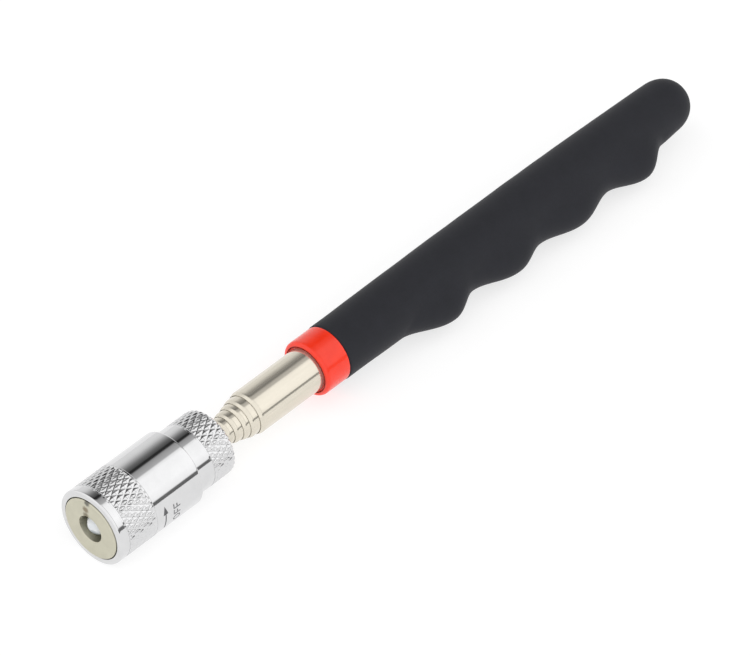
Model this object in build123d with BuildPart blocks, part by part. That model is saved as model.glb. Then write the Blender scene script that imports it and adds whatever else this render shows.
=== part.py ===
"""Telescoping magnetic pick-up tool with a lamp in its head, collapsed and lying on its side.

Millimetres. The tool's axis is the X axis. The origin is the centre of the magnet's front face, and
the handle runs towards +X. The tool lies with +Z up, on a floor at z = -HEAD_RADIUS.
"""

import os
from math import asin, atan2, cos, pi, radians, sin, sqrt

from build123d import *

# Driving dimensions of the head
HEAD_RADIUS = 9.0
HEAD_REAR = 24.3
RIM_SETBACK = 0.3
MAGNET_RADIUS = 7.4
MAGNET_BORE_RADIUS = 3.2
MAGNET_LENGTH = 6.0
REAR_BARREL_RADIUS = 7.8
REAR_BARREL_END = 35.5
REAR_KNURL_LENGTH = 6.5
PIVOT_X = 33.0
CELL_RADIUS = 5.8
CELL_LENGTH = 5.4
CELL_COUNT = 3
LED_RADIUS = 2.5
LED_TIP = 0.1

# Driving dimensions of the telescope
OUTER_TUBE_RADIUS = 5.2
RADIUS_STEP = 0.5
TUBE_WALL = 0.35
SECTION_COUNT = 6
SECTION_FRONTS = [45.9, 43.5, 41.8, 39.7, 37.8, 36.3]
OUTER_TUBE_REAR = 183.0
NECK_LENGTH = 3.0
OVERLAP = 10.0

# Driving dimensions of the handle
COLLAR_FRONT = 64.7
COLLAR_RADIUS = 6.7
GRIP_FRONT = 71.6
GRIP_END = 189.1
GRIP_DOME_LENGTH = 7.1
GRIP_DOME_POWER = 2.3
GRIP_FRONT_RADIUS = 6.8
GRIP_WAIST_RADIUS = 7.25
GRIP_TAIL_RADIUS = 6.35
FINGERS_START = (88.0, 0.0)
FINGER_CRESTS = [(102.4, 3.6), (123.6, 3.6), (144.8, 3.65), (166.8, 4.25)]
FINGER_VALLEYS = [(110.8, 0.8), (132.5, 1.3), (155.6, 1.2), (175.6, 0.35)]
FINGERS_END = (184.0, 0.0)
FINGER_EDGE_RADIUS = 5.0
FINGER_DROOP = 24.0

# Fits
RUNNING_GAP = 0.05
FREE_GAP = 0.3

TUBE_RADII = [OUTER_TUBE_RADIUS - RADIUS_STEP * i for i in range(SECTION_COUNT)]


def write(part, name):
    """Label one finished piece and write it as its own STEP file."""
    part.label = name
    export_step(part, f"parts/{name}.step")


def across(x, turn=0.0):
    """A plane square to the tool's axis at x, whose own X direction is turned about the axis."""
    angle = radians(turn)
    return Plane(origin=(x, 0, 0), x_dir=(0, -cos(angle), -sin(angle)), z_dir=(1, 0, 0))


def ring(outer, inner, start, end):
    """A plain ring or disc on the tool's axis, from start to end."""
    with BuildPart() as piece:
        with BuildSketch(across(start)):
            Circle(outer)
            if inner > 0:
                Circle(inner, mode=Mode.SUBTRACT)
        extrude(amount=end - start)
    return piece.part


def turned(outline):
    """A closed outline of (x, radius) points turned about the tool's axis."""
    with BuildPart() as piece:
        with BuildSketch(Plane.XY):
            with BuildLine():
                Polyline(*outline, close=True)
            make_face()
        revolve(axis=Axis.X)
    return piece.part


# ---- Telescope -------------------------------------------------------------------------------

FERRULE_FLANGE = 1.5
FERRULE_SPIGOT = 2.5
FERRULE_WALL = 0.8
PLUG_SPIGOT = 3.5
STACK_GAP = 0.5
NECK_STEP = 0.1
NECK_TAPER = 0.5
LIP_LENGTH = 0.8
LIP_DROP = 0.36
SHIM_THICKNESS = 0.1
SHIM_SLIT = 0.8
STOP_GAP = 0.2


def section_rears():
    """Rear end of each tube, so that the collapsed ferrules stack up behind one another."""
    rears = [OUTER_TUBE_REAR]
    rears.append(OUTER_TUBE_REAR - PLUG_SPIGOT - STACK_GAP - FERRULE_FLANGE)
    for _ in range(2, SECTION_COUNT):
        rears.append(rears[-1] - FERRULE_SPIGOT - STACK_GAP - FERRULE_FLANGE)
    return rears


def tube(radius, front, rear):
    """One steel tube, rolled in at its front end until it runs on the next tube."""
    bore = radius - TUBE_WALL
    with BuildPart() as piece:
        with BuildSketch(Plane.XY):
            with BuildLine():
                Polyline(
                    (front, radius - LIP_DROP),
                    (front, bore - NECK_STEP),
                    (front + NECK_LENGTH - NECK_TAPER, bore - NECK_STEP),
                    (front + NECK_LENGTH, bore),
                    (rear, bore),
                    (rear, radius),
                    (front + LIP_LENGTH, radius),
                    close=True,
                )
            make_face()
        revolve(axis=Axis.X)
    return piece.part


def ferrule(radius, rear):
    """Brass bushing pressed into a tube's rear end; its flange runs in the bore of the tube outside."""
    spigot = radius - TUBE_WALL
    flange = radius + RADIUS_STEP - TUBE_WALL - RUNNING_GAP
    hole = spigot - FERRULE_WALL
    return turned(
        [
            (rear - FERRULE_SPIGOT, hole),
            (rear - FERRULE_SPIGOT, spigot),
            (rear, spigot),
            (rear, flange),
            (rear + FERRULE_FLANGE, flange),
            (rear + FERRULE_FLANGE, hole),
        ]
    )


def friction_shim(radius, rear):
    """Split brass strip round a tube's rear end: the bearing, and the stop at full reach."""
    length = OVERLAP - NECK_LENGTH - STOP_GAP
    with BuildPart() as piece:
        with BuildSketch(across(rear - length)):
            Circle(radius + SHIM_THICKNESS)
            Circle(radius, mode=Mode.SUBTRACT)
            with Locations((radius, 0)):
                Rectangle(radius, SHIM_SLIT, mode=Mode.SUBTRACT)
        extrude(amount=length)
    return piece.part


def end_plug():
    """Plug that closes the outer tube's rear end inside the grip."""
    bore = OUTER_TUBE_RADIUS - TUBE_WALL
    return turned(
        [
            (OUTER_TUBE_REAR - PLUG_SPIGOT, 0),
            (OUTER_TUBE_REAR - PLUG_SPIGOT, bore),
            (OUTER_TUBE_REAR, bore),
            (OUTER_TUBE_REAR, OUTER_TUBE_RADIUS),
            (OUTER_TUBE_REAR + FERRULE_FLANGE, OUTER_TUBE_RADIUS),
            (OUTER_TUBE_REAR + FERRULE_FLANGE, 0),
        ]
    )


def write_telescope():
    rears = section_rears()
    write(tube(TUBE_RADII[0], SECTION_FRONTS[0], rears[0]), "outer_tube")
    write(end_plug(), "end_plug")
    for i in range(1, SECTION_COUNT):
        radius = TUBE_RADII[i]
        write(tube(radius, SECTION_FRONTS[i], rears[i]), f"section_tube_{i + 1}")
        write(ferrule(radius, rears[i]), f"rear_ferrule_{i + 1}")
        write(friction_shim(radius, rears[i]), f"friction_shim_{i + 1}")
        travel = rears[i] - SECTION_FRONTS[i - 1] - OVERLAP
        print(f"section {i + 1} slides out by {travel:.1f} mm")


# ---- Handle ----------------------------------------------------------------------------------

COLLAR_FRONT_ROUND = 0.9
COLLAR_REAR_ROUND = 0.3
COLLAR_RECESS_RADIUS = 5.5
COLLAR_RECESS_DEPTH = 0.5
SECTION_POINTS = 28
EDGE_SHARE = 0.8
STATION_STEP = 2.4
DOME_STATIONS = 9
DOME_TURN = 84


def collar():
    """Glossy plastic collar in front of the grip, hollowed a little round the tube."""
    with BuildPart() as piece:
        with BuildSketch(across(COLLAR_FRONT)):
            Circle(COLLAR_RADIUS)
            Circle(OUTER_TUBE_RADIUS, mode=Mode.SUBTRACT)
        extrude(amount=GRIP_FRONT - COLLAR_FRONT)
        with BuildSketch(across(COLLAR_FRONT)):
            Circle(COLLAR_RECESS_RADIUS)
        extrude(amount=COLLAR_RECESS_DEPTH, mode=Mode.SUBTRACT)
        front_rim = piece.edges().group_by(Axis.X)[0].sort_by(SortBy.RADIUS)[-1]
        fillet(front_rim, COLLAR_FRONT_ROUND)
        rear_rim = piece.edges().group_by(Axis.X)[-1].sort_by(SortBy.RADIUS)[-1]
        fillet(rear_rim, COLLAR_REAR_ROUND)
    return piece.part


def grip_base_radius(x):
    """Radius of the grip's round back: a shallow barrel with a domed end."""
    middle = (GRIP_FRONT + GRIP_END) / 2
    reach = (x - middle) / (middle - GRIP_FRONT)
    end_radius = GRIP_FRONT_RADIUS if x < middle else GRIP_TAIL_RADIUS
    radius = GRIP_WAIST_RADIUS - (GRIP_WAIST_RADIUS - end_radius) * reach**2
    dome = max(0.0, x - (GRIP_END - GRIP_DOME_LENGTH)) / GRIP_DOME_LENGTH
    return radius * (1 - dome**GRIP_DOME_POWER) ** (1 / GRIP_DOME_POWER)


def finger_height(x):
    """How far the finger side stands out beyond the round back: crests with valleys between."""
    turns = sorted([FINGERS_START, FINGERS_END] + FINGER_CRESTS + FINGER_VALLEYS)
    for (start, low), (end, high) in zip(turns, turns[1:]):
        if start <= x < end:
            wave = 0.5 - 0.5 * cos(pi * (x - start) / (end - start))
            return low + (high - low) * wave
    return 0.0


def grip_radius(x, angle):
    """Radius of the section at x: a round back and a narrower finger edge, joined by flat flanks."""
    base = grip_base_radius(x)
    edge = min(FINGER_EDGE_RADIUS, EDGE_SHARE * base)
    offset = base + finger_height(x) - edge
    tangent = pi / 2 - asin((base - edge) / offset)
    turn = abs(angle)
    if turn >= tangent:
        return base
    flank_end = atan2(edge * sin(tangent), offset + edge * cos(tangent))
    if turn <= flank_end:
        return offset * cos(turn) + sqrt(edge**2 - (offset * sin(turn)) ** 2)
    return base / cos(turn - tangent)


def grip_stations():
    """Places along the grip where its section is drawn: even steps, then closer ones round the dome."""
    dome_start = GRIP_END - GRIP_DOME_LENGTH
    steps = round((dome_start - GRIP_FRONT) / STATION_STEP)
    stations = [GRIP_FRONT + (dome_start - GRIP_FRONT) * i / steps for i in range(steps)]
    for i in range(DOME_STATIONS):
        turn = radians(DOME_TURN) * i / (DOME_STATIONS - 1)
        stations.append(dome_start + GRIP_DOME_LENGTH * sin(turn))
    return stations


def grip():
    """Soft grip: finger edges face -Y and droop, so that the tool rests on their flat flanks."""
    with BuildPart() as piece:
        for x in grip_stations():
            with BuildSketch(across(x, FINGER_DROOP)):
                with BuildLine():
                    points = []
                    for i in range(SECTION_POINTS):
                        angle = 2 * pi * i / SECTION_POINTS
                        if angle > pi:
                            angle -= 2 * pi
                        radius = grip_radius(x, angle)
                        points.append((radius * cos(angle), radius * sin(angle)))
                    Spline(*points, periodic=True)
                make_face()
        loft(ruled=True)
        with BuildSketch(across(GRIP_FRONT)):
            Circle(OUTER_TUBE_RADIUS)
        extrude(amount=OUTER_TUBE_REAR + FERRULE_FLANGE - GRIP_FRONT, mode=Mode.SUBTRACT)
    return piece.part


def write_handle():
    write(collar(), "collar")
    write(grip(), "grip")


# ---- Head ------------------------------------------------------------------------------------

MAGNET_GAP = 0.15
MAGNET_CHAMFER = 0.4
RIM_ROUND = 0.6
REAR_CHAMFER = 0.4
REAR_BARREL_ROUND = 1.0
HOLDER_RADIUS = 6.0
HOLDER_REAR = 10.1
BARREL_GROOVE_DEPTH = 0.15
BARREL_GROOVE_WIDTH = 0.4
FRONT_KNURL_START = 2.8
FRONT_KNURL_END = 10.4
LED_FLANGE_START = 8.6
LED_FLANGE_END = 9.6
LED_FLANGE_RADIUS = 2.9
LEAD_RADIUS = 0.2
LEAD_OFFSET = 1.27
CONTACT_RADIUS = 3.5
CONTACT_THICKNESS = 0.4
NOSE_FRONT = 10.6
CELLS_FRONT = 10.8
SLEEVE_WALL = 0.35
SPRING_SPACE = 1.1
SLOT_FRONT = 28.9
SLOT_BACK = 2.5
SLOT_HALF_WIDTH = 3.9
PIN_RADIUS = 1.0
PIN_COVER = 1.2
PIN_SETBACK = 0.3
EYE_RADIUS = 2.2
EYE_STEM_RADIUS = 2.2
EYE_SPIGOT_LENGTH = 3.0

CELLS_REAR = CELLS_FRONT + CELL_COUNT * CELL_LENGTH
SLEEVE_RADIUS = CELL_RADIUS + RUNNING_GAP + SLEEVE_WALL


def front_barrel():
    """Chromed front barrel: magnet pocket, lamp seat, and the long bore that takes the rear barrel."""
    pocket = MAGNET_RADIUS + MAGNET_GAP
    bore = REAR_BARREL_RADIUS + RUNNING_GAP
    with BuildPart() as piece:
        with BuildSketch(Plane.XY):
            with BuildLine():
                Polyline(
                    (RIM_SETBACK, pocket),
                    (RIM_SETBACK, HEAD_RADIUS),
                    (HEAD_REAR, HEAD_RADIUS),
                    (HEAD_REAR, bore),
                    (HOLDER_REAR, bore),
                    (HOLDER_REAR, HOLDER_RADIUS),
                    (MAGNET_LENGTH, HOLDER_RADIUS),
                    (MAGNET_LENGTH, pocket),
                    close=True,
                )
            make_face()
        revolve(axis=Axis.X)
        fillet(piece.edges().group_by(Axis.X)[0].sort_by(SortBy.RADIUS)[-1], RIM_ROUND)
        chamfer(piece.edges().group_by(Axis.X)[-1].sort_by(SortBy.RADIUS)[-1], REAR_CHAMFER)
        for x in (FRONT_KNURL_START - BARREL_GROOVE_WIDTH, FRONT_KNURL_END):
            with BuildSketch(across(x)):
                Circle(HEAD_RADIUS + 1)
                Circle(HEAD_RADIUS - BARREL_GROOVE_DEPTH, mode=Mode.SUBTRACT)
            extrude(amount=BARREL_GROOVE_WIDTH, mode=Mode.SUBTRACT)
    return piece.part


def magnet():
    """Nickel-plated ring magnet, standing a little proud of the rim."""
    with BuildPart() as piece:
        with BuildSketch(across(0)):
            Circle(MAGNET_RADIUS)
            Circle(MAGNET_BORE_RADIUS, mode=Mode.SUBTRACT)
        extrude(amount=MAGNET_LENGTH)
        chamfer(piece.edges().group_by(Axis.X)[0].sort_by(SortBy.RADIUS)[-1], MAGNET_CHAMFER)
    return piece.part


def led():
    """Clear lamp: a round dome, a straight body and a flange."""
    with BuildPart() as piece:
        with BuildSketch(Plane.XY):
            with BuildLine():
                dome_centre = LED_TIP + LED_RADIUS
                CenterArc((dome_centre, 0), LED_RADIUS, 90, 90)
                Polyline(
                    (dome_centre, LED_RADIUS),
                    (LED_FLANGE_START, LED_RADIUS),
                    (LED_FLANGE_START, LED_FLANGE_RADIUS),
                    (LED_FLANGE_END, LED_FLANGE_RADIUS),
                    (LED_FLANGE_END, 0),
                    (LED_TIP, 0),
                )
            make_face()
        revolve(axis=Axis.X)
    return piece.part


def led_holder():
    """Plastic seat that carries the lamp behind the magnet, grooved at the back for one lead."""
    outer = HOLDER_RADIUS - RUNNING_GAP
    groove_depth = HOLDER_REAR - LED_FLANGE_END
    with BuildPart() as piece:
        with BuildSketch(across(MAGNET_LENGTH + RUNNING_GAP)):
            Circle(outer)
            Circle(LED_RADIUS + RUNNING_GAP, mode=Mode.SUBTRACT)
        extrude(amount=HOLDER_REAR - MAGNET_LENGTH - RUNNING_GAP)
        with BuildSketch(across(LED_FLANGE_START)):
            Circle(LED_FLANGE_RADIUS + RUNNING_GAP)
        extrude(amount=HOLDER_REAR - LED_FLANGE_START, mode=Mode.SUBTRACT)
        with BuildSketch(across(HOLDER_REAR - groove_depth)):
            with Locations((outer / 2 + LEAD_OFFSET, 0)):
                Rectangle(outer, groove_depth)
        extrude(amount=groove_depth, mode=Mode.SUBTRACT)
    return piece.part


def lead_to_cell():
    """Short centre lead between the lamp and the contact disc."""
    with BuildPart() as piece:
        with BuildSketch(across(LED_FLANGE_END)):
            with Locations((-LEAD_OFFSET, 0)):
                Circle(LEAD_RADIUS)
        extrude(amount=HOLDER_REAR - LED_FLANGE_END)
    return piece.part


def lead_to_barrel():
    """Lead bent outwards along the holder's groove, towards the barrel's wall."""
    middle = LED_FLANGE_END + LEAD_RADIUS
    with BuildPart() as piece:
        with BuildSketch(Plane(origin=(middle, -LEAD_OFFSET, 0), x_dir=(1, 0, 0), z_dir=(0, -1, 0))):
            Rectangle(2 * LEAD_RADIUS, 2 * LEAD_RADIUS)
        extrude(amount=HOLDER_RADIUS - RUNNING_GAP - LEAD_OFFSET)
    return piece.part


def cell(front):
    """Button cell: a wide can, and a narrower cap that faces the lamp."""
    step = 0.8
    cap = CELL_RADIUS - 1.3
    return turned(
        [
            (front, 0),
            (front, cap),
            (front + step, cap),
            (front + step, CELL_RADIUS),
            (front + CELL_LENGTH, CELL_RADIUS),
            (front + CELL_LENGTH, 0),
        ]
    )


def contact_spring():
    """Dished spring washer between the last cell and the rear barrel's wall."""
    leaf = 0.3
    hole = 1.5
    rise = SPRING_SPACE - leaf
    rim = CELL_RADIUS - leaf
    return turned(
        [
            (CELLS_REAR, hole),
            (CELLS_REAR + leaf, hole),
            (CELLS_REAR + leaf + rise, rim),
            (CELLS_REAR + rise, rim),
        ]
    )


def rear_barrel():
    """Chromed rear barrel: hollow for the cells, with a slot on its +Y side that takes the tilt."""
    with BuildPart() as piece:
        with BuildSketch(across(NOSE_FRONT)):
            Circle(REAR_BARREL_RADIUS)
        extrude(amount=REAR_BARREL_END - NOSE_FRONT)
        fillet(piece.edges().group_by(Axis.X)[-1], REAR_BARREL_ROUND)
        with BuildSketch(across(REAR_BARREL_END - REAR_KNURL_LENGTH - BARREL_GROOVE_WIDTH)):
            Circle(REAR_BARREL_RADIUS + 1)
            Circle(REAR_BARREL_RADIUS - BARREL_GROOVE_DEPTH, mode=Mode.SUBTRACT)
        extrude(amount=BARREL_GROOVE_WIDTH, mode=Mode.SUBTRACT)
        with BuildSketch(across(NOSE_FRONT)):
            Circle(SLEEVE_RADIUS)
        extrude(amount=CELLS_REAR + SPRING_SPACE - NOSE_FRONT, mode=Mode.SUBTRACT)
        slot_length = REAR_BARREL_END - SLOT_FRONT
        slot_depth = SLOT_BACK + REAR_BARREL_RADIUS
        slot_plane = Plane(
            origin=(SLOT_FRONT + slot_length / 2, -SLOT_BACK, 0), x_dir=(1, 0, 0), z_dir=(0, 1, 0)
        )
        with BuildSketch(slot_plane):
            Rectangle(slot_length, 2 * SLOT_HALF_WIDTH)
        extrude(amount=slot_depth, mode=Mode.SUBTRACT)
        with BuildSketch(Plane.XY.offset(-REAR_BARREL_RADIUS)):
            with Locations((PIVOT_X, 0)):
                Circle(PIN_RADIUS)
        extrude(amount=2 * REAR_BARREL_RADIUS - PIN_COVER, mode=Mode.SUBTRACT)
    return piece.part


def pivot_pin():
    """Cross pin that carries the rod's eye, driven in from below."""
    bottom = PIN_SETBACK - REAR_BARREL_RADIUS
    top = REAR_BARREL_RADIUS - PIN_COVER
    with BuildPart() as piece:
        with BuildSketch(Plane.XY.offset(bottom)):
            with Locations((PIVOT_X, 0)):
                Circle(PIN_RADIUS)
        extrude(amount=top - bottom)
    return piece.part


def rod_eye():
    """Eye on the pivot pin, with a stem and a spigot that turn in the last tube's neck."""
    neck_end = SECTION_FRONTS[-1] + NECK_LENGTH
    spigot = TUBE_RADII[-1] - TUBE_WALL - RUNNING_GAP
    hub_length = 2 * (SLOT_HALF_WIDTH - FREE_GAP / 2)
    with BuildPart() as piece:
        with BuildSketch(across(PIVOT_X)):
            Circle(EYE_STEM_RADIUS)
        extrude(amount=neck_end + FREE_GAP - PIVOT_X)
        with BuildSketch(across(neck_end + FREE_GAP)):
            Circle(spigot)
        extrude(amount=EYE_SPIGOT_LENGTH)
        with BuildSketch(Plane.XY.offset(-hub_length / 2)):
            with Locations((PIVOT_X, 0)):
                Circle(EYE_RADIUS)
        extrude(amount=hub_length)
        with BuildSketch(Plane.XY.offset(-hub_length / 2)):
            with Locations((PIVOT_X, 0)):
                Circle(PIN_RADIUS + RUNNING_GAP)
        extrude(amount=hub_length, mode=Mode.SUBTRACT)
    return piece.part


def write_head():
    write(front_barrel(), "front_barrel")
    write(magnet(), "magnet")
    write(led(), "led")
    write(led_holder(), "led_holder")
    write(lead_to_cell(), "lead_to_cell")
    write(lead_to_barrel(), "lead_to_barrel")
    contact_end = HOLDER_REAR + CONTACT_THICKNESS
    write(ring(CONTACT_RADIUS, 0, HOLDER_REAR, contact_end), "contact_disc")
    write(rear_barrel(), "rear_barrel")
    sleeve_bore = CELL_RADIUS + RUNNING_GAP
    write(ring(SLEEVE_RADIUS, sleeve_bore, CELLS_FRONT, CELLS_REAR), "battery_sleeve")
    for i in range(CELL_COUNT):
        write(cell(CELLS_FRONT + i * CELL_LENGTH), f"button_cell_{i + 1}")
    write(contact_spring(), "contact_spring")
    write(pivot_pin(), "pivot_pin")
    write(rod_eye(), "rod_eye")


os.makedirs("parts", exist_ok=True)
write_telescope()
write_handle()
write_head()
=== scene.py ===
import math

import bpy
import numpy as np
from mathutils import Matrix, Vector, noise


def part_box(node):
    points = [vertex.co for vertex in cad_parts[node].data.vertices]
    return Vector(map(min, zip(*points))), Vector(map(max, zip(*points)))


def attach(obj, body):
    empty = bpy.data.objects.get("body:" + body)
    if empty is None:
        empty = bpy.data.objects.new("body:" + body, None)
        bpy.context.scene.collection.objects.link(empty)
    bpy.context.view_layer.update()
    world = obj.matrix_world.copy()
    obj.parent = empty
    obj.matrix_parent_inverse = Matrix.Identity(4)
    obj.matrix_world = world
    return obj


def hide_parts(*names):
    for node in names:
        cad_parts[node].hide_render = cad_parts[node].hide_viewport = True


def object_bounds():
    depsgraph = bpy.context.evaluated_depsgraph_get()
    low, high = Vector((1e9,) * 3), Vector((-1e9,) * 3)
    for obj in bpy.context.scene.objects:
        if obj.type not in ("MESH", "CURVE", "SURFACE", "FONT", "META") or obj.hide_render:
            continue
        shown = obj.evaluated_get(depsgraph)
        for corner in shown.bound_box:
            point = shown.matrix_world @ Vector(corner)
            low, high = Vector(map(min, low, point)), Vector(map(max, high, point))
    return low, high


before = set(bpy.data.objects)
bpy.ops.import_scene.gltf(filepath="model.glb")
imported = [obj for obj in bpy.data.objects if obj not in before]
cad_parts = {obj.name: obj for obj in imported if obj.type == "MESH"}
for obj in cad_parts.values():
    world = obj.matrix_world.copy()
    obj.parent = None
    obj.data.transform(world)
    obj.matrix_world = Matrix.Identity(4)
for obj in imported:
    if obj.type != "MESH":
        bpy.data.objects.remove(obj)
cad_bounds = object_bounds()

MM = 0.001
TAU = 2 * math.pi


# ---- Sizes, read from the frame and held in millimetres ---------------------------------------


def span(node):
    """First and last x of a CAD node, and its largest radius about the tool's axis."""
    low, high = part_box(node)
    return low.x / MM, high.x / MM, high.z / MM


FRONT_START, FRONT_END, FRONT_RADIUS = span("front_barrel")
REAR_START, REAR_END, REAR_RADIUS = span("rear_barrel")
MAGNET_START, MAGNET_END, MAGNET_RADIUS = span("magnet")
LAMP_START, LAMP_END, LAMP_FLANGE_RADIUS = span("led")
_, HOLDER_END, HOLDER_RADIUS = span("led_holder")
_, SLEEVE_END, SLEEVE_RADIUS = span("battery_sleeve")
COLLAR_START, COLLAR_END, COLLAR_RADIUS = span("collar")
GRIP_START, GRIP_END, _ = span("grip")
FLOOR_Z = cad_bounds[0][2] / MM

MAGNET_BORE = 3.2
LAMP_RADIUS = 2.5
POCKET_GAP = 0.15
RUNNING_GAP = 0.05
TURNED_LINE = 0.4
TURNED_DEPTH = 0.07
SLEEVE_CLEARANCE = 1.1
FORK_START = 28.9
FORK_HALF_WIDTH = 3.9
FORK_FLOOR = -2.5
PIVOT_X = 33.0
PIVOT_HOLE_RADIUS = 1.0
PIVOT_SKIN = 1.2
REAR_ROUNDING = 1.0
LAMP_FLANGE = 1.0
TUBE_WALL = 0.35
COLLAR_RECESS_RADIUS = 5.5
COLLAR_RECESS_DEPTH = 0.5
SNUG_GAP = 0.01
NECK_LENGTH = 3.0
NECK_TAPER = 0.5
NECK_STEP = 0.1
LIP_LENGTH = 0.8
LIP_DROP = 0.36

INK_HEIGHT = 0.012

# Knurl: two crossed families of grooves at about thirty degrees to the axis
FRONT_KNURL = (2.8, 10.4)
FRONT_DIAMONDS = 39
REAR_KNURL = (29.0, REAR_END)
REAR_DIAMONDS = 34
DIAMOND_LENGTH = 2.5333
KNURL_DEPTH = 0.24
GROOVE_SHARE = 0.34
SAMPLES_PER_DIAMOND = 10


# ---- Meshes ------------------------------------------------------------------------------------


def add_mesh(name, points, faces, sharp=40.0):
    """A smooth-shaded mesh object from points in millimetres, with creases sharper than an angle."""
    mesh = bpy.data.meshes.new(name)
    mesh.from_pydata([tuple(p) for p in np.asarray(points) * MM], [], faces)
    mesh.validate()
    mesh.polygons.foreach_set("use_smooth", [True] * len(mesh.polygons))
    mesh.set_sharp_from_angle(angle=math.radians(sharp))
    mesh.update()
    piece = bpy.data.objects.new(name, mesh)
    bpy.context.scene.collection.objects.link(piece)
    return piece


def softened(corners, steps=5):
    """An outline of (x, radius, rounding) corners, as points with each rounded corner drawn out."""
    outline = []
    for i, (x, r, rounding) in enumerate(corners):
        here = np.array((x, r))
        if rounding <= 0:
            outline.append((x, r))
            continue
        before = np.array(corners[i - 1][:2]) - here
        after = np.array(corners[(i + 1) % len(corners)][:2]) - here
        before /= np.linalg.norm(before)
        after /= np.linalg.norm(after)
        outline.append(tuple(here + before * rounding * 1.25))
        for k in range(steps + 1):
            s = k / steps
            bend = (1 - s) ** 2 * before + s**2 * after
            outline.append(tuple(here + bend * rounding))
        outline.append(tuple(here + after * rounding * 1.25))
    return outline


def turned(name, outline, count=96, relief=None, closed=True, sharp=40.0):
    """An outline of (x, radius) points turned about the tool's axis, with relief cut into it."""
    angles = np.arange(count) * TAU / count
    points = []
    rings = []
    for x, r in outline:
        first = len(points)
        if r < 1e-6:
            points.append((x, 0, 0))
            rings.append([first] * count)
            continue
        radii = np.full(count, r)
        if relief is not None:
            radii = radii - relief(x, r, angles)
        for radius, angle in zip(radii, angles):
            points.append((x, radius * math.cos(angle), radius * math.sin(angle)))
        rings.append(list(range(first, first + count)))
    pairs = list(zip(rings, rings[1:]))
    if closed:
        pairs.append((rings[-1], rings[0]))
    faces = []
    for a, b in pairs:
        for j in range(count):
            k = (j + 1) % count
            corners = [a[j], a[k], b[k], b[j]]
            face = [c for n, c in enumerate(corners) if c not in corners[:n]]
            if len(face) > 2:
                faces.append(face)
    return add_mesh(name, points, faces, sharp)


def knurl(start, end, diamonds, outer):
    """Relief of crossed grooves between start and end, on the surface of radius outer."""

    def relief(x, r, angles):
        if r < outer - 1.2 or x < start - 1e-6 or x > end + 1e-6:
            return np.zeros(len(angles))
        turn = angles * diamonds / TAU
        along = (x - start) / DIAMOND_LENGTH
        depth = np.zeros(len(angles))
        for place in (turn + along, turn - along):
            distance = np.abs(place - np.round(place))
            depth = np.maximum(depth, 1 - distance / GROOVE_SHARE)
        run_out = min(1.0, (x - start) / 0.3 + 0.25, max(0.0, (end - x) / 0.3 + 0.25))
        return KNURL_DEPTH * run_out * np.clip(depth, 0, 1)

    return relief


def knurl_steps(start, end):
    """Places along a knurled band that fall on the crossings of its grooves."""
    step = DIAMOND_LENGTH / SAMPLES_PER_DIAMOND
    count = int((end - start) / step + 1e-6)
    return [start + step * i for i in range(count + 1)]


def cut(piece, *cutters):
    """Takes the cutters out of a piece and removes them."""
    for cutter in cutters:
        modifier = piece.modifiers.new("cut", "BOOLEAN")
        modifier.operation = "DIFFERENCE"
        modifier.solver = "EXACT"
        modifier.object = cutter
    graph = bpy.context.evaluated_depsgraph_get()
    mesh = bpy.data.meshes.new_from_object(piece.evaluated_get(graph))
    piece.modifiers.clear()
    piece.data = mesh
    mesh.polygons.foreach_set("use_smooth", [True] * len(mesh.polygons))
    mesh.set_sharp_from_angle(angle=math.radians(40))
    for cutter in cutters:
        bpy.data.objects.remove(cutter)
    return piece


def block(name, low, high):
    """A box between two corners, in millimetres, used as a cutter."""
    points = [(x, y, z) for x in (low[0], high[0]) for y in (low[1], high[1]) for z in (low[2], high[2])]
    faces = [(0, 1, 3, 2), (4, 6, 7, 5), (0, 4, 5, 1), (2, 3, 7, 6), (0, 2, 6, 4), (1, 5, 7, 3)]
    return add_mesh(name, points, faces)


def post(name, x, radius, low, high, count=32):
    """An upright round bar along Z, used as a cutter."""
    points = []
    for z in (low, high):
        for k in range(count):
            a = TAU * k / count
            points.append((x + radius * math.cos(a), radius * math.sin(a), z))
    faces = [list(range(count))[::-1], list(range(count, 2 * count))]
    for k in range(count):
        n = (k + 1) % count
        faces.append((k, n, n + count, k + count))
    return add_mesh(name, points, faces)


# ---- Materials ---------------------------------------------------------------------------------


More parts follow.
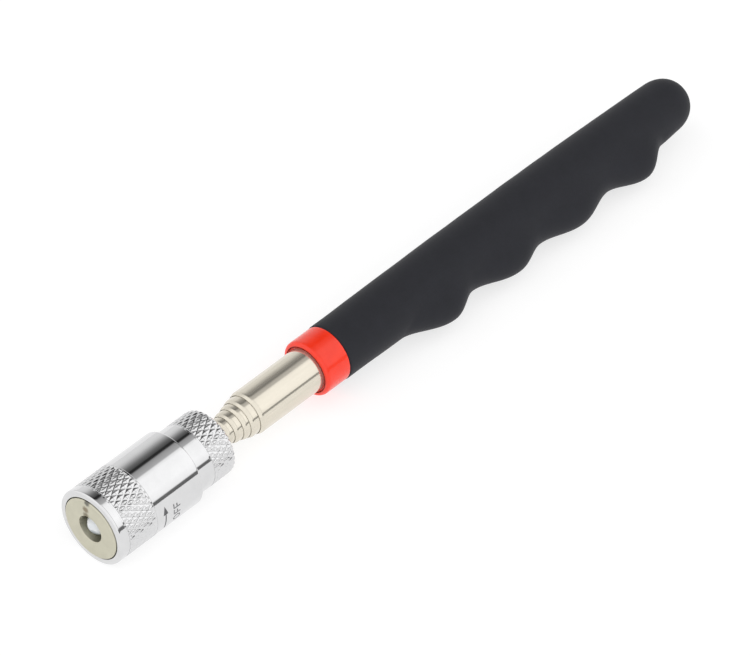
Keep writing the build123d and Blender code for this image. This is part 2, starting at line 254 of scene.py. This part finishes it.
def surface(name, dark, light, rough, stretch=(1, 1, 1), mottle=300.0, grain=2500.0, bump=0.02,
            pores=0.0, **fixed):
    """A procedural finish: mottled colour, uneven roughness and a fine bumped grain.

    dark and light are the two ends of the colour, rough the range of roughness, stretch the scale
    of the grain along each axis, mottle and grain the scales per metre, bump the height in
    millimetres, and pores how much of the bump is small round pits. The rest goes to the shader.
    """
    material = bpy.data.materials.new(name)
    material.use_nodes = True
    nodes = material.node_tree.nodes
    link = material.node_tree.links.new
    shader = nodes["Principled BSDF"]
    for socket, value in fixed.items():
        shader.inputs[socket.replace("_", " ")].default_value = value
    where = nodes.new("ShaderNodeTexCoord")
    scaled = nodes.new("ShaderNodeMapping")
    scaled.inputs["Scale"].default_value = stretch
    link(where.outputs["Object"], scaled.inputs["Vector"])

    patches = nodes.new("ShaderNodeTexNoise")
    patches.inputs["Scale"].default_value = mottle
    patches.inputs["Detail"].default_value = 6
    patches.inputs["Roughness"].default_value = 0.6
    link(scaled.outputs["Vector"], patches.inputs["Vector"])
    ramp = nodes.new("ShaderNodeValToRGB")
    ramp.color_ramp.elements[0].position = 0.3
    ramp.color_ramp.elements[0].color = (*dark, 1)
    ramp.color_ramp.elements[1].position = 0.7
    ramp.color_ramp.elements[1].color = (*light, 1)
    link(patches.outputs["Fac"], ramp.inputs["Fac"])
    link(ramp.outputs["Color"], shader.inputs["Base Color"])

    fine = nodes.new("ShaderNodeTexNoise")
    fine.inputs["Scale"].default_value = grain
    fine.inputs["Detail"].default_value = 3
    link(scaled.outputs["Vector"], fine.inputs["Vector"])
    spread = nodes.new("ShaderNodeMapRange")
    spread.inputs["From Min"].default_value = 0.3
    spread.inputs["From Max"].default_value = 0.7
    spread.inputs["To Min"].default_value = rough[0]
    spread.inputs["To Max"].default_value = rough[1]
    link(patches.outputs["Fac"], spread.inputs["Value"])
    link(spread.outputs["Result"], shader.inputs["Roughness"])

    raised = nodes.new("ShaderNodeBump")
    raised.inputs["Strength"].default_value = 1.0
    raised.inputs["Distance"].default_value = bump * MM
    height = fine.outputs["Fac"]
    if pores:
        cells = nodes.new("ShaderNodeTexVoronoi")
        cells.inputs["Scale"].default_value = grain * 0.6
        link(scaled.outputs["Vector"], cells.inputs["Vector"])
        pits = nodes.new("ShaderNodeMapRange")
        pits.inputs["From Max"].default_value = 0.35
        pits.inputs["To Min"].default_value = -pores
        pits.inputs["To Max"].default_value = 0.0
        link(cells.outputs["Distance"], pits.inputs["Value"])
        summed = nodes.new("ShaderNodeMath")
        summed.operation = "ADD"
        link(fine.outputs["Fac"], summed.inputs[0])
        link(pits.outputs["Result"], summed.inputs[1])
        height = summed.outputs["Value"]
    link(height, raised.inputs["Height"])
    link(raised.outputs["Normal"], shader.inputs["Normal"])
    return material


CHROME = surface("chrome_plate", (0.66, 0.66, 0.665), (0.71, 0.71, 0.715), (0.05, 0.08),
                 mottle=200, grain=2600, bump=0.0002, Metallic=1.0)
TUBE = surface("nickel_tube", (0.69, 0.645, 0.55), (0.75, 0.7, 0.597), (0.07, 0.12),
               stretch=(0.12, 1, 1), mottle=1500, grain=6000, bump=0.0006, Metallic=0.74,
               Specular_IOR_Level=0.3)
MAGNET = surface("magnet_nickel", (0.55, 0.53, 0.425), (0.63, 0.61, 0.5), (0.38, 0.55),
                 mottle=420, grain=5200, bump=0.004, Metallic=1.0)
RED = surface("red_gloss", (0.88, 0.033, 0.01), (0.94, 0.041, 0.013), (0.16, 0.26),
              mottle=350, grain=3000, bump=0.001, Specular_IOR_Level=0.42,
              Coat_Weight=0.1, Coat_Roughness=0.05)
FOAM = surface("black_foam", (0.0185, 0.0192, 0.0235), (0.0245, 0.0252, 0.0305), (0.74, 0.9),
               mottle=300, grain=3600, bump=0.025, pores=0.8, Sheen_Weight=0.1,
               Sheen_Roughness=0.4, Specular_IOR_Level=0.2)
STEEL = surface("plain_steel", (0.42, 0.42, 0.42), (0.58, 0.58, 0.58), (0.25, 0.4),
                mottle=500, grain=4000, bump=0.003, Metallic=1.0)
BRASS = surface("plain_brass", (0.55, 0.38, 0.16), (0.72, 0.53, 0.26), (0.25, 0.42),
                mottle=500, grain=4000, bump=0.003, Metallic=1.0)
CELL = surface("cell_steel", (0.55, 0.55, 0.55), (0.68, 0.68, 0.67), (0.18, 0.3),
               mottle=400, grain=4000, bump=0.002, Metallic=1.0)
PLASTIC = surface("dark_plastic", (0.02, 0.02, 0.022), (0.035, 0.035, 0.038), (0.4, 0.55),
                  mottle=500, grain=3500, bump=0.006)
LENS = surface("clear_resin", (0.88, 0.93, 0.99), (0.97, 0.99, 1.0), (0.01, 0.03),
               mottle=500, grain=2000, bump=0.0003, Transmission_Weight=0.3, IOR=1.5,
               Coat_Weight=0.6, Coat_Roughness=0.02, Coat_IOR=1.5)
INK = surface("etched_mark", (0.05, 0.05, 0.055), (0.12, 0.12, 0.125), (0.4, 0.6),
              mottle=1800, grain=5000, bump=0.002)
PALE_INK = surface("pale_etched_mark", (0.07, 0.07, 0.075), (0.34, 0.34, 0.35), (0.3, 0.5),
                   mottle=2600, grain=5000, bump=0.002, Metallic=0.4)
PHOSPHOR = surface("lamp_phosphor", (0.75, 0.7, 0.35), (0.85, 0.8, 0.45), (0.5, 0.6),
                   mottle=2000, grain=5000, bump=0.002)


def stain_and_painted_shade(material, place, reach, colour):
    """Darkens a finish round one place, in millimetres: a nick and a chip on the magnet, a dark spot at
    the magnet's edge, and painted shade on the lower side of the lamp's lens.

    The darkening is full to 0.7 of its reach and gone at 1.2 of it, less a ragged edge of noise.
    """
    nodes = material.node_tree.nodes
    link = material.node_tree.links.new
    shader = nodes["Principled BSDF"]
    under = shader.inputs["Base Color"].links[0].from_socket
    where = nodes.new("ShaderNodeTexCoord")
    away = nodes.new("ShaderNodeVectorMath")
    away.operation = "DISTANCE"
    away.inputs[1].default_value = [c * MM for c in place]
    link(where.outputs["Object"], away.inputs[0])
    ragged = nodes.new("ShaderNodeTexNoise")
    ragged.inputs["Scale"].default_value = 2600.0
    link(where.outputs["Object"], ragged.inputs["Vector"])
    edge = nodes.new("ShaderNodeMath")
    edge.operation = "MULTIPLY_ADD"
    edge.inputs[1].default_value = 0.5 * reach * MM
    link(ragged.outputs["Fac"], edge.inputs[0])
    link(away.outputs["Value"], edge.inputs[2])
    amount = nodes.new("ShaderNodeMapRange")
    amount.inputs["From Min"].default_value = 0.7 * reach * MM
    amount.inputs["From Max"].default_value = 1.2 * reach * MM
    amount.inputs["To Min"].default_value = 0.8
    amount.inputs["To Max"].default_value = 0.0
    link(edge.outputs["Value"], amount.inputs["Value"])
    mix = nodes.new("ShaderNodeMixRGB")
    mix.inputs["Color2"].default_value = (*colour, 1)
    link(amount.outputs["Result"], mix.inputs["Fac"])
    link(under, mix.inputs["Color1"])
    link(mix.outputs["Color"], shader.inputs["Base Color"])


def finish(piece, material, body, slot, *nodes):
    """Gives a new piece its finish, its body and the CAD nodes that it stands for; slot is not used."""
    piece.data.materials.clear()
    piece.data.materials.append(material)
    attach(piece, body)
    if nodes:
        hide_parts(*nodes)
    return piece


# ---- Head --------------------------------------------------------------------------------------


def front_barrel():
    outer = FRONT_RADIUS
    pocket = MAGNET_RADIUS + POCKET_GAP
    bore = REAR_RADIUS + RUNNING_GAP
    groove = outer - TURNED_DEPTH
    start, end = FRONT_KNURL
    outline = softened([
        (FRONT_START, pocket, 0.12),
        (FRONT_START, outer, 0.6),
        (start - TURNED_LINE, outer, 0.06),
        (start - TURNED_LINE, groove, 0.0),
        (start, groove, 0.0),
    ])
    outline += [(x, outer) for x in knurl_steps(start, end)]
    outline += softened([
        (end, groove, 0.0),
        (end + TURNED_LINE, groove, 0.0),
        (end + TURNED_LINE, outer, 0.06),
        (FRONT_END, outer, 0.45),
        (FRONT_END, bore, 0.12),
        (HOLDER_END, bore, 0.0),
        (HOLDER_END, HOLDER_RADIUS + RUNNING_GAP, 0.0),
        (MAGNET_END, HOLDER_RADIUS + RUNNING_GAP, 0.0),
        (MAGNET_END, pocket, 0.0),
    ])
    piece = turned("front_barrel_knurled", outline, FRONT_DIAMONDS * SAMPLES_PER_DIAMOND,
                   knurl(start, end, FRONT_DIAMONDS, outer))
    return finish(piece, CHROME, "head_front", "chrome", "front_barrel")


def rear_barrel():
    outer = REAR_RADIUS
    groove = outer - TURNED_DEPTH
    start, end = REAR_KNURL
    inside = SLEEVE_END + SLEEVE_CLEARANCE
    outline = [(inside, 0.0)]
    outline += softened([
        (inside, SLEEVE_RADIUS, 0.0),
        (REAR_START, SLEEVE_RADIUS, 0.0),
        (REAR_START, outer, 0.15),
        (start - TURNED_LINE, outer, 0.06),
        (start - TURNED_LINE, groove, 0.0),
        (start, groove, 0.0),
    ])
    outline += [(x, outer) for x in knurl_steps(start, end - REAR_ROUNDING)]
    for k in range(1, 9):
        turn = math.pi / 2 * k / 8
        outline.append((end - REAR_ROUNDING + REAR_ROUNDING * math.sin(turn),
                        outer - REAR_ROUNDING + REAR_ROUNDING * math.cos(turn)))
    outline.append((end, 0.0))
    piece = turned("rear_barrel_knurled", outline, REAR_DIAMONDS * SAMPLES_PER_DIAMOND,
                   knurl(start, end, REAR_DIAMONDS, outer), closed=False)
    slot = block("slot_cutter", (FORK_START, FORK_FLOOR, -FORK_HALF_WIDTH),
                 (end + 2, outer + 2, FORK_HALF_WIDTH))
    hole = post("pin_cutter", PIVOT_X, PIVOT_HOLE_RADIUS, -outer - 1, outer - PIVOT_SKIN)
    cut(piece, slot, hole)
    return finish(piece, CHROME, "head_rear", "chrome", "rear_barrel")


def magnet():
    outline = softened([
        (MAGNET_START, MAGNET_BORE, 0.15),
        (MAGNET_START, MAGNET_RADIUS, 0.4),
        (MAGNET_END, MAGNET_RADIUS, 0.1),
        (MAGNET_END, MAGNET_BORE, 0.1),
    ])
    piece = turned("ring_magnet", outline, 128)
    stain_and_painted_shade(MAGNET, (0.0, 1.03, 5.0), 1.1, (0.2, 0.15, 0.09))
    stain_and_painted_shade(MAGNET, (0.1, 0.95, 3.3), 1.1, (0.16, 0.13, 0.08))
    # A dark spot on the magnet's face at its outer edge, next to the gap to the rim.
    stain_and_painted_shade(MAGNET, (0.1, 0.6, 7.1), 1.0, (0.1, 0.1, 0.09))
    return finish(piece, MAGNET, "head_front", "magnet_nickel", "magnet")


def lamp():
    """Clear lamp with its lead frame, cup and chip inside the resin."""
    centre = LAMP_START + LAMP_RADIUS
    outline = []
    for k in range(17):
        turn = math.pi / 2 * k / 16
        outline.append((centre - LAMP_RADIUS * math.cos(turn), LAMP_RADIUS * math.sin(turn)))
    outline += softened([
        (LAMP_END - LAMP_FLANGE, LAMP_RADIUS, 0.0),
        (LAMP_END - LAMP_FLANGE, LAMP_FLANGE_RADIUS, 0.12),
        (LAMP_END, LAMP_FLANGE_RADIUS, 0.12),
    ])
    outline.append((LAMP_END, 0.0))
    lens = turned("lamp_lens", outline, 64, closed=False)
    # Painted shade: the lower side of the lens is darkened to blue-grey in its colour.
    stain_and_painted_shade(LENS, (0.45, -0.5, -1.3), 1.6, (0.08, 0.13, 0.16))
    finish(lens, LENS, "lamp", "clear_lens", "led")

    cup = turned("lamp_cup", [(4.2, 0.5), (2.9, 1.75), (2.9, 1.95), (5.2, 1.95), (5.2, 0.0), (4.2, 0.0)],
                 48, closed=False)
    finish(cup, STEEL, "lamp", "plain_steel")
    chip = turned("lamp_chip", [(3.8, 0.0), (3.8, 0.5), (4.18, 0.6), (4.18, 0.0)], 24, closed=False)
    finish(chip, PHOSPHOR, "lamp", "clear_lens")


def wrapped(name, strokes, radius, material, body, slot):
    """Flat strokes laid round a barrel, each a row of (x, angle in degrees) and its width at both ends."""
    points = []
    faces = []
    for path, (first_width, last_width) in strokes:
        dense = []
        for (x0, a0), (x1, a1) in zip(path, path[1:]):
            steps = max(1, int(abs(a1 - a0) / 2))
            dense += [(x0 + (x1 - x0) * k / steps, a0 + (a1 - a0) * k / steps) for k in range(steps)]
        dense.append(path[-1])
        flat = np.array([(x, math.radians(a) * radius) for x, a in dense])
        first = len(points)
        for i, place in enumerate(flat):
            ahead = flat[min(i + 1, len(flat) - 1)] - flat[max(i - 1, 0)]
            ahead /= np.linalg.norm(ahead)
            width = first_width + (last_width - first_width) * i / (len(flat) - 1)
            side = np.array((-ahead[1], ahead[0])) * width / 2
            for offset, lift in ((side, 0.0), (side, INK_HEIGHT), (-side, INK_HEIGHT), (-side, 0.0)):
                x, arc = place + offset
                turn = arc / radius
                r = radius + lift
                points.append((x, r * math.cos(turn), r * math.sin(turn)))
        for i in range(len(flat) - 1):
            a = first + 4 * i
            for k in range(4):
                n = (k + 1) % 4
                faces.append((a + k, a + n, a + 4 + n, a + 4 + k))
        faces.append((first, first + 1, first + 2, first + 3))
        last = len(points) - 4
        faces.append((last + 3, last + 2, last + 1, last))
    piece = add_mesh(name, points, faces)
    return finish(piece, material, body, slot)


def marks():
    """An arrow round the front barrel for the way it turns, and a plain word for the lamp's off side."""
    arrow_x = 13.2
    shaft = [(arrow_x, 203.5), (arrow_x, 172.0)]
    point = [(arrow_x, 163.0), (arrow_x, 176.0)]
    wrapped("turn_arrow", [(shaft, (0.3, 0.3)), (point, (0.02, 1.37))], FRONT_RADIUS, INK,
            "head_front", "dark_plastic")

    even = (0.32, 0.32)
    near, far = 15.6, 17.4
    middle = (near + far) / 2
    turns = [TAU * k / 16 for k in range(17)]
    ring = [(middle + 0.88 * math.cos(turn), 196.0 + 4.6 * math.sin(turn)) for turn in turns]
    strokes = [(ring, even)]
    for start in (186.5, 176.0):
        strokes.append(([(far, start), (near, start)], even))
        strokes.append(([(near, start), (near, start - 7.5)], even))
        strokes.append(([(middle, start), (middle, start - 6.0)], even))
    wrapped("off_mark", strokes, FRONT_RADIUS, PALE_INK, "head_front", "dark_plastic")


# ---- Telescope ---------------------------------------------------------------------------------


def tube(node, body):
    start, end, radius = span(node)
    bore = radius - TUBE_WALL
    neck = start + NECK_LENGTH
    outline = softened([
        (start, radius - LIP_DROP, 0.06),
        (start + LIP_LENGTH, radius, 0.25),
        (end, radius, 0.05),
        (end, bore, 0.05),
        (neck, bore, 0.0),
        (neck - NECK_TAPER, bore - NECK_STEP, 0.0),
        (start, bore - NECK_STEP, 0.03),
    ])
    piece = turned(node + "_drawn", outline, 96)
    return finish(piece, TUBE, body, "polished_steel", node)


# ---- Handle ------------------------------------------------------------------------------------


def collar():
    tube_radius = span("outer_tube")[2]
    bore = tube_radius + SNUG_GAP
    outline = softened([
        (COLLAR_START + COLLAR_RECESS_DEPTH, bore, 0.0),
        (COLLAR_START + COLLAR_RECESS_DEPTH, COLLAR_RECESS_RADIUS, 0.0),
        (COLLAR_START, COLLAR_RECESS_RADIUS, 0.2),
        (COLLAR_START, COLLAR_RADIUS, 0.9),
        (COLLAR_END, COLLAR_RADIUS, 0.3),
        (COLLAR_END, bore, 0.0),
    ], 7)
    piece = turned("red_collar", outline, 128)
    return finish(piece, RED, "handle", "red_plastic", "collar")


GRIP_FRONT_RADIUS = 6.8
GRIP_WAIST_RADIUS = 7.25
GRIP_TAIL_RADIUS = 6.35
GRIP_MIDDLE = 130.35
DOME_START = 182.0
DOME_POWER = 2.3
FINGERS_START = (88.0, 0.0)
FINGER_CRESTS = [(102.4, 3.6), (123.6, 3.6), (144.8, 3.65), (166.8, 4.25)]
FINGER_VALLEYS = [(110.8, 0.8), (132.5, 1.3), (155.6, 1.2), (175.6, 0.35)]
FINGERS_END = (184.0, 0.0)
EDGE_RADIUS = 5.0
FINGER_DROOP = math.radians(24)
GRIP_LIP = 0.5
FOAM_LUMPS = 0.16
FOAM_SHRINK = 0.07
FOAM_UNEVEN = 0.05


def back_radius(x):
    """Radius of the grip's round back: a shallow barrel with a domed end and a rounded front edge."""
    reach = (x - GRIP_MIDDLE) / (GRIP_MIDDLE - GRIP_START)
    end_radius = GRIP_FRONT_RADIUS if reach < 0 else GRIP_TAIL_RADIUS
    radius = GRIP_WAIST_RADIUS - (GRIP_WAIST_RADIUS - end_radius) * reach**2
    dome = min(1.0, max(0.0, x - DOME_START) / (GRIP_END - DOME_START))
    lip = 1 - min(1.0, (x - GRIP_START) / GRIP_LIP)
    return (radius - GRIP_LIP * (1 - math.sqrt(1 - lip**2))) * (1 - dome**DOME_POWER) ** (1 / DOME_POWER)


def finger_height(x):
    """How far the finger side stands out beyond the round back: crests with valleys between."""
    turns = sorted([FINGERS_START, FINGERS_END] + FINGER_CRESTS + FINGER_VALLEYS)
    for (start, low), (end, high) in zip(turns, turns[1:]):
        if start <= x < end:
            wave = 0.5 - 0.5 * math.cos(math.pi * (x - start) / (end - start))
            return low + (high - low) * wave
    return 0.0


def grip_radius(x, angle):
    """Radius of the section at x: a round back and a narrower finger edge, joined by flat flanks."""
    base = back_radius(x)
    edge = min(EDGE_RADIUS, 0.8 * base)
    offset = base + finger_height(x) - edge
    tangent = math.pi / 2 - math.asin((base - edge) / offset)
    turn = abs(angle)
    if turn >= tangent:
        return base
    flank_end = math.atan2(edge * math.sin(tangent), offset + edge * math.cos(tangent))
    if turn <= flank_end:
        return offset * math.cos(turn) + math.sqrt(edge**2 - (offset * math.sin(turn)) ** 2)
    return base / math.cos(turn - tangent)


def grip():
    """Soft grip drawn finely over its whole length, with the slight unevenness of moulded foam."""
    count = 128
    bore = span("outer_tube")[2] + 2 * SNUG_GAP
    bore_end = span("end_plug")[1]
    stations = [GRIP_START + GRIP_LIP * (1 - math.cos(math.pi / 2 * k / 6)) for k in range(6)]
    steps = 200
    first = GRIP_START + GRIP_LIP
    stations += [first + (DOME_START - first) * k / steps for k in range(steps)]
    stations += [DOME_START + (GRIP_END - DOME_START) * math.sin(math.pi / 2 * k / 22) for k in range(22)]
    droop_cos, droop_sin = math.cos(FINGER_DROOP), math.sin(FINGER_DROOP)
    points = []
    for x in [bore_end, GRIP_START] + stations:
        inside = len(points) < 2 * count
        for j in range(count):
            angle = TAU * j / count
            if angle > math.pi:
                angle -= TAU
            r = bore if inside else grip_radius(x, angle)
            y = r * (math.sin(angle) * droop_sin - math.cos(angle) * droop_cos)
            z = r * (-math.cos(angle) * droop_sin - math.sin(angle) * droop_cos)
            if not inside:
                uneven = noise.noise(Vector((x, y, z)) * FOAM_LUMPS)
                fade = min(1.0, (x - GRIP_START) / 4, (GRIP_END - x) / 4)
                shrink = 1 - max(0.0, FOAM_SHRINK + FOAM_UNEVEN * uneven) * fade / r
                y, z = y * shrink, z * shrink
            points.append((x, y, z))
    rows = len(points) // count
    faces = []
    for i in range(rows - 1):
        for j in range(count):
            k = (j + 1) % count
            faces.append((i * count + j, i * count + k, (i + 1) * count + k, (i + 1) * count + j))
    closings = [(0, bore_end), (rows - 1, GRIP_END)]
    for row, x in closings:
        centre = len(points)
        points.append((x, 0.0, 0.0))
        for j in range(count):
            k = (j + 1) % count
            edge = (row * count + j, row * count + k)
            faces.append((centre, edge[1], edge[0]) if row == 0 else (centre, edge[0], edge[1]))
    piece = add_mesh("foam_grip", points, faces, 60)
    finish(piece, FOAM, "handle", "grip_foam", "grip")
    return piece


# ---- Build -------------------------------------------------------------------------------------

front_barrel()
rear_barrel()
magnet()
lamp()
marks()
collar()
grip()
tube("outer_tube", "handle")
for k in range(2, 7):
    tube(f"section_tube_{k}", f"section_{k}")

INNER = {
    "rod_eye": STEEL, "pivot_pin": STEEL, "lead_to_cell": STEEL, "lead_to_barrel": STEEL,
    "led_holder": PLASTIC, "battery_sleeve": PLASTIC, "end_plug": PLASTIC, "contact_disc": BRASS,
    "contact_spring": BRASS, "button_cell_1": CELL, "button_cell_2": CELL, "button_cell_3": CELL,
}
for k in range(2, 7):
    INNER[f"rear_ferrule_{k}"] = BRASS
    INNER[f"friction_shim_{k}"] = BRASS
for node, material in INNER.items():
    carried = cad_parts[node]
    carried.data.materials.clear()
    carried.data.materials.append(material)
    carried.data.polygons.foreach_set("use_smooth", [True] * len(carried.data.polygons))
    weld = carried.modifiers.new("weld", "WELD")
    weld.merge_threshold = 1e-6
    crease = carried.modifiers.new("crease", "EDGE_SPLIT")
    crease.split_angle = math.radians(35)


# ---- Studio ------------------------------------------------------------------------------------


def sky():
    """Soft studio surroundings.

    The brightness changes round the tool's axis: a pale back wall, a dark gap, a soft box in front
    and above, and its thin dark edge. Towards the head the soft box has a greyer border, and beyond
    that stands a second soft box that lights the rims facing it.
    """
    world = bpy.data.worlds.new("studio")
    bpy.context.scene.world = world
    world.use_nodes = True
    nodes = world.node_tree.nodes
    link = world.node_tree.links.new
    background = nodes["Background"]
    where = nodes.new("ShaderNodeTexCoord")
    parts = nodes.new("ShaderNodeSeparateXYZ")
    link(where.outputs["Generated"], parts.inputs["Vector"])
    turn = nodes.new("ShaderNodeMath")
    turn.operation = "ARCTAN2"
    link(parts.outputs["Z"], turn.inputs[0])
    link(parts.outputs["Y"], turn.inputs[1])
    place = nodes.new("ShaderNodeMapRange")
    place.inputs["From Min"].default_value = 0.0
    place.inputs["From Max"].default_value = math.pi
    link(turn.outputs["Value"], place.inputs["Value"])
    ramp = nodes.new("ShaderNodeValToRGB")
    link(place.outputs["Result"], ramp.inputs["Fac"])
    second_box = nodes.new("ShaderNodeMapRange")
    second_box.interpolation_type = "SMOOTHSTEP"
    second_box.inputs["From Min"].default_value = 0.02
    second_box.inputs["From Max"].default_value = -0.2
    link(parts.outputs["X"], second_box.inputs["Value"])
    border = nodes.new("ShaderNodeValToRGB")
    grey_share = 0.4
    edges = [(0.56, 0.0), (0.6, grey_share), (0.67, grey_share), (0.7, 0.0)]
    for k, (place_x, amount) in enumerate(edges):
        element = border.color_ramp.elements[k] if k < 2 else border.color_ramp.elements.new(place_x)
        element.position = place_x
        element.color = (amount, amount, amount, 1)
    across = nodes.new("ShaderNodeMapRange")
    across.inputs["From Min"].default_value = -1.0
    across.inputs["From Max"].default_value = 1.0
    link(parts.outputs["X"], across.inputs["Value"])
    link(across.outputs["Result"], border.inputs["Fac"])
    front = nodes.new("ShaderNodeMapRange")
    front.inputs["From Min"].default_value = 0.0
    front.inputs["From Max"].default_value = -0.15
    link(parts.outputs["Y"], front.inputs["Value"])
    framed = nodes.new("ShaderNodeMath")
    framed.operation = "MULTIPLY"
    link(border.outputs["Color"], framed.inputs[0])
    link(front.outputs["Result"], framed.inputs[1])
    banded = nodes.new("ShaderNodeMixRGB")
    banded.inputs["Color2"].default_value = (0.12, 0.12, 0.12, 1)
    link(framed.outputs["Value"], banded.inputs["Fac"])
    link(ramp.outputs["Color"], banded.inputs["Color1"])
    lit = nodes.new("ShaderNodeMixRGB")
    lit.inputs["Color2"].default_value = (1.2, 1.2, 1.2, 1)
    link(second_box.outputs["Result"], lit.inputs["Fac"])
    link(banded.outputs["Color"], lit.inputs["Color1"])
    link(lit.outputs["Color"], background.inputs["Color"])
    back_wall = [(0, 0.93), (14, 0.93), (24, 0.86), (31, 0.72),
                 (38, 0.52), (45, 0.33), (51, 0.2), (57, 0.13)]
    dark_gap = [(61, 0.1), (64, 0.03), (70, 0.03)]
    soft_box = [(75, 0.4), (86, 0.52), (91, 0.57), (94, 1.1),
                (102, 1.3), (145, 1.36), (158, 1.28), (168, 1.2)]
    front_edge = [(171, 0.17), (178, 0.17)]
    stops = back_wall + dark_gap + soft_box + front_edge
    elements = ramp.color_ramp.elements
    for k, (degrees, value) in enumerate(stops):
        element = elements[k] if k < 2 else elements.new(degrees / 180)
        element.position = degrees / 180
        element.color = (value, value, value, 1)


def floor():
    material = bpy.data.materials.new("floor_card")
    material.use_nodes = True
    nodes = material.node_tree.nodes
    link = material.node_tree.links.new
    shader = nodes["Principled BSDF"]
    shader.inputs["Roughness"].default_value = 0.9
    shader.inputs["Specular IOR Level"].default_value = 0.0
    shader.inputs["Emission Strength"].default_value = 0.68
    shader.inputs["Emission Color"].default_value = (1, 1, 1, 1)
    grain = nodes.new("ShaderNodeTexNoise")
    grain.inputs["Scale"].default_value = 4.0
    ramp = nodes.new("ShaderNodeValToRGB")
    ramp.color_ramp.elements[0].color = (0.38, 0.38, 0.38, 1)
    ramp.color_ramp.elements[1].color = (0.41, 0.41, 0.41, 1)
    link(grain.outputs["Fac"], ramp.inputs["Fac"])
    link(ramp.outputs["Color"], shader.inputs["Base Color"])
    half = 15000
    corners = [(x * half, y * half, FLOOR_Z) for x, y in ((-1, -1), (1, -1), (1, 1), (-1, 1))]
    card = add_mesh("floor", corners, [(0, 1, 2, 3)])
    card.data.materials.append(material)


def camera():
    azimuth = math.radians(-47.26)
    elevation = math.radians(43.17)
    distance = 0.972596
    aim = Vector((0.085082, -0.001306, -0.000945))
    back = Vector((math.sin(azimuth) * math.cos(elevation), -math.cos(azimuth) * math.cos(elevation),
                   math.sin(elevation)))
    data = bpy.data.cameras.new("camera")
    data.lens = 216
    data.sensor_width = 36
    data.clip_start = 0.01
    data.clip_end = 100
    eye = bpy.data.objects.new("camera", data)
    eye.location = aim + back * distance
    eye.rotation_euler = (-back).to_track_quat("-Z", "Y").to_euler()
    bpy.context.scene.collection.objects.link(eye)
    bpy.context.scene.camera = eye


sky()
floor()
camera()
bpy.context.scene.view_settings.view_transform = "Standard"

bpy.context.view_layer.update()
